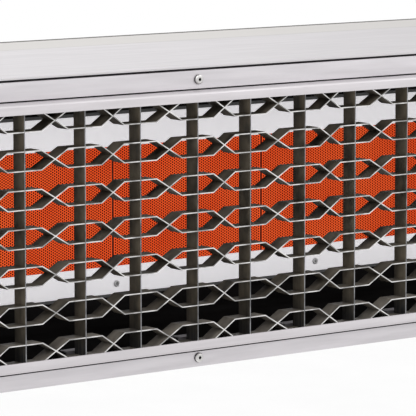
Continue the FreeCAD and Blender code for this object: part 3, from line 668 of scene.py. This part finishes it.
def ringFaces(rings, around, first=0):
    # quads between neighbouring rings of a closed profile, and one cap at each end
    ring, spot = np.meshgrid(np.arange(rings - 1), np.arange(around), indexing="ij")
    following = (spot + 1) % around
    corner = first + np.stack([
        ring * around + spot, ring * around + following,
        (ring + 1) * around + following, (ring + 1) * around + spot], axis=2)
    last = first + (rings - 1) * around
    caps = [list(range(first, first + around)), list(range(last, last + around))]
    return corner.reshape(-1, 4).tolist() + caps


# colour of the painted crease shade round the pressings, and how high above the panel it reaches
pressing = {"creaseShade": (0.13, 0.125, 0.13), "depth": 0.0007}


def creaseShadedSteel(look):
    # the skin's steel with painted shade where a pressing rises from the panel: darker at low height above
    # the rear face
    material = brushedSteel("creaseShadedSteel", **skinSteel)
    tree = material.node_tree
    shader = tree.nodes["Principled BSDF"]
    grain = feeding(shader, "Base Color")
    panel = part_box("rear_panel")[1].y
    clear = between(tree, axisOf(tree, "Y"), panel, panel + look["depth"])
    # painted shade in the crease at the foot of each pressing
    tree.links.new(blendColours(tree, clear, look["creaseShade"], grain), shader.inputs["Base Color"])
    return material


def pressedForm(look, acrossZ, crown):
    # closed strip on the rear panel: profile across, times a blunt envelope along its length, backed by two
    # points sunk into the panel. Envelope: root of one minus the distance from the middle to a high power
    along = np.linspace(-1.0, 1.0, look["rings"])
    blunt = np.sqrt(np.clip(1.0 - np.abs(along) ** look["bluntness"], 0.0, 1.0))
    envelope = blunt * (1.0 - look["endRise"]) + look["endRise"]
    closedZ = np.concatenate([acrossZ, [acrossZ[-1], acrossZ[0]]])
    closedRise = np.concatenate([crown, [0.0, 0.0]])
    sunk = np.concatenate([np.zeros(len(acrossZ)), [1.0, 1.0]]) * look["sunk"]
    x = np.repeat(along[:, None] * look["length"] / 2, len(closedZ), axis=1)
    z = np.repeat(closedZ[None, :], look["rings"], axis=0)
    y = envelope[:, None] * closedRise[None, :] - sunk[None, :]
    return np.stack([x, y, z], axis=2)


def pressedRow(name, form, places, finishes):
    # copies of one form at some places, as one piece of the heater
    rings, around = form.shape[:2]
    one = form.reshape(-1, 3)
    points = (one[None, :, :] + np.array(places)[:, None, :]).reshape(-1, 3)
    faces = []
    for k in range(len(places)):
        faces += ringFaces(rings, around, k * len(one))
    return newPiece(name, points, faces, finishes, "heater")


rearLouvre = {
    "length": 0.090, "height": 0.0085, "rise": 0.0017, "sunk": 0.0004,
    "rings": 25, "steps": 11, "bluntness": 5, "endRise": 0.03,
    "banks": (-0.33, 0.0, 0.33),
    "rows": 5, "rowPitch": 0.0150,
    "level": -0.030,         # middle row, from the panel's middle
    "mouthSlope": -0.8,      # faces that look down more than this are the open mouth, which takes a painted shade finish
}


def pressedLouvres(look, finish, mouth):
    # hood whose rise grows as the square root of the way down
    down = np.linspace(0.0, 1.0, look["steps"])
    form = pressedForm(look, (0.5 - down) * look["height"], np.sqrt(down) * look["rise"])
    low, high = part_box("rear_panel")
    middle = (low.z + high.z) / 2 + look["level"]
    rows = (np.arange(look["rows"]) - (look["rows"] - 1) / 2) * look["rowPitch"] + middle
    places = [(bank, high.y, row) for bank in look["banks"] for row in rows]
    piece = pressedRow("rear_louvres", form, places, [finish, mouth])
    normals = np.zeros(len(piece.data.polygons) * 3)
    piece.data.polygons.foreach_get("normal", normals)
    facesDown = (normals.reshape(-1, 3)[:, 2] < look["mouthSlope"]).astype(np.int32)
    piece.data.polygons.foreach_set("material_index", facesDown)


# painted shade: a dark sheet over each louvre's open mouth, standing for the shaded inside
mouthShade = {"tone": (0.015, 0.015, 0.016), "roughness": 0.8, "scale": 300.0}
creased = creaseShadedSteel(pressing)
pressedLouvres(rearLouvre, creased, speckled("louvreMouthShade", **mouthShade))
print("louvres done")


rearRib = {
    "length": 1.06, "height": 0.013, "rise": 0.0016, "sunk": 0.0004,
    "rings": 61, "steps": 15, "bluntness": 60, "endRise": 0.03,
    "levels": (0.036, -0.083),           # from the panel's middle
}


def pressedRibs(look, finish):
    # raised-cosine profile across the rib
    across = np.linspace(-1.0, 1.0, look["steps"])
    crown = (1.0 + np.cos(across * math.pi)) / 2 * look["rise"]
    form = pressedForm(look, across * look["height"] / 2, crown)
    low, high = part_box("rear_panel")
    middle = (low.z + high.z) / 2
    pressedRow("rear_ribs", form, [(0.0, high.y, middle + level) for level in look["levels"]], [finish])


tiltScale = {
    "inner": 0.0675, "outer": 0.0745, "halfWidth": 0.0006,
    "proud": 0.0002,         # how far each mark stands out of the bracket and reaches into it
    "first": 60, "last": 120, "step": 10,    # degrees
    "sheet": 0.003,          # the bracket's thickness
}
markInk = {"tone": (0.03, 0.03, 0.03), "roughness": 0.6, "scale": 300.0}


def tiltMarks(look, finish):
    # thin bars on rays from the pivot, one for each step of the tilt, on both brackets
    boltLow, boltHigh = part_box("pivot_bolts")
    pivotZ = (boltLow.z + boltHigh.z) / 2
    turn = np.radians(np.arange(look["first"], look["last"] + 1, look["step"]))
    ray = np.stack([np.cos(turn), np.sin(turn)], axis=1)
    side = np.stack([-np.sin(turn), np.cos(turn)], axis=1) * look["halfWidth"]
    near, far = ray * look["inner"], ray * look["outer"]
    flat = np.stack([near - side, far - side, far + side, near + side], axis=1).reshape(-1, 2)
    bars = []
    for sign, name in ((-1.0, "bracket_left"), (1.0, "bracket_right")):
        low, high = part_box(name)
        face = min(abs(low.x), abs(high.x)) + look["sheet"]
        for x in (face - look["proud"], face + look["proud"]):
            bars.append(np.column_stack([np.full(len(flat), sign * x), flat[:, 0], flat[:, 1] + pivotZ]))
    points = np.concatenate(bars)
    count = len(flat)
    faces = []
    for first in (0, 2 * count):
        for start in range(first, first + count, 4):
            lower = [start, start + 1, start + 2, start + 3]
            upper = [index + count for index in lower]
            faces += [lower, upper]
            faces += [[lower[k], lower[(k + 1) % 4], upper[(k + 1) % 4], upper[k]] for k in range(4)]
    newPiece("tilt_scale_marks", points, faces, [finish], "brackets")


pressedRibs(rearRib, creased)
tiltMarks(tiltScale, speckled("markInk", **markInk))
print("ribs and tilt marks done")


room = {
    "floorDrop": 2.2, "floorHalf": 12.0, "sky": 1.0,
    "floor": {"tone": (0.985, 0.985, 0.985), "roughness": 0.9, "scale": 3.0, "spread": 0.02},
}
lampTarget = (0.0, 0.0, -0.19)
lamps = {
    "key": {"place": (-1.2, -2.8, 2.4), "size": 2.4, "power": 48.0},
    "fill": {"place": (2.6, -2.4, 1.4), "size": 2.4, "power": 38.0},
    "rear": {"place": (1.2, 2.8, 2.0), "size": 2.4, "power": 9.0},
}
view = {
    "place": (-1.3314, -1.8563, 0.1031), "azimuth": 37.357, "fall": 7.397,
    "lens": 282.7, "sensor": 36.0, "reach": 60.0,
}


def paleFloor(look):
    low = cadBounds[0]
    mesh = bpy.data.meshes.new("floor")
    half = look["floorHalf"]
    z = low[2] - look["floorDrop"]
    corners = [(-half, -half, z), (half, -half, z), (half, half, z), (-half, half, z)]
    mesh.from_pydata(corners, [], [(0, 1, 2, 3)])
    floor = bpy.data.objects.new("floor", mesh)
    bpy.context.scene.collection.objects.link(floor)
    mesh.materials.append(speckled("paleFloor", **look["floor"]))


def softSky(look):
    world = bpy.data.worlds.new("sky")
    world.use_nodes = True
    background = world.node_tree.nodes["Background"]
    background.inputs["Color"].default_value = (1.0, 1.0, 1.0, 1.0)
    background.inputs["Strength"].default_value = look["sky"]
    bpy.context.scene.world = world


def softLamp(name, look):
    data = bpy.data.lights.new(name, "AREA")
    data.size = look["size"]
    data.energy = look["power"]
    lamp = bpy.data.objects.new(name, data)
    bpy.context.scene.collection.objects.link(lamp)
    place = Vector(look["place"])
    aim = Vector(lampTarget) - place
    lamp.location = place
    lamp.rotation_euler = aim.to_track_quat("-Z", "Y").to_euler()


def aimedCamera(look):
    data = bpy.data.cameras.new("camera")
    data.lens = look["lens"]
    data.sensor_width = look["sensor"]
    data.clip_end = look["reach"]
    camera = bpy.data.objects.new("camera", data)
    bpy.context.scene.collection.objects.link(camera)
    azimuth = math.radians(look["azimuth"])
    fall = math.radians(look["fall"])
    level = math.cos(fall)
    aim = Vector((math.sin(azimuth) * level, math.cos(azimuth) * level, -math.sin(fall)))
    camera.location = look["place"]
    camera.rotation_euler = aim.to_track_quat("-Z", "Y").to_euler()
    bpy.context.scene.camera = camera


paleFloor(room)
softSky(room)
for lampName, lampLook in lamps.items():
    softLamp(lampName, lampLook)
aimedCamera(view)
bpy.context.scene.view_settings.view_transform = "Standard"
print("room done")
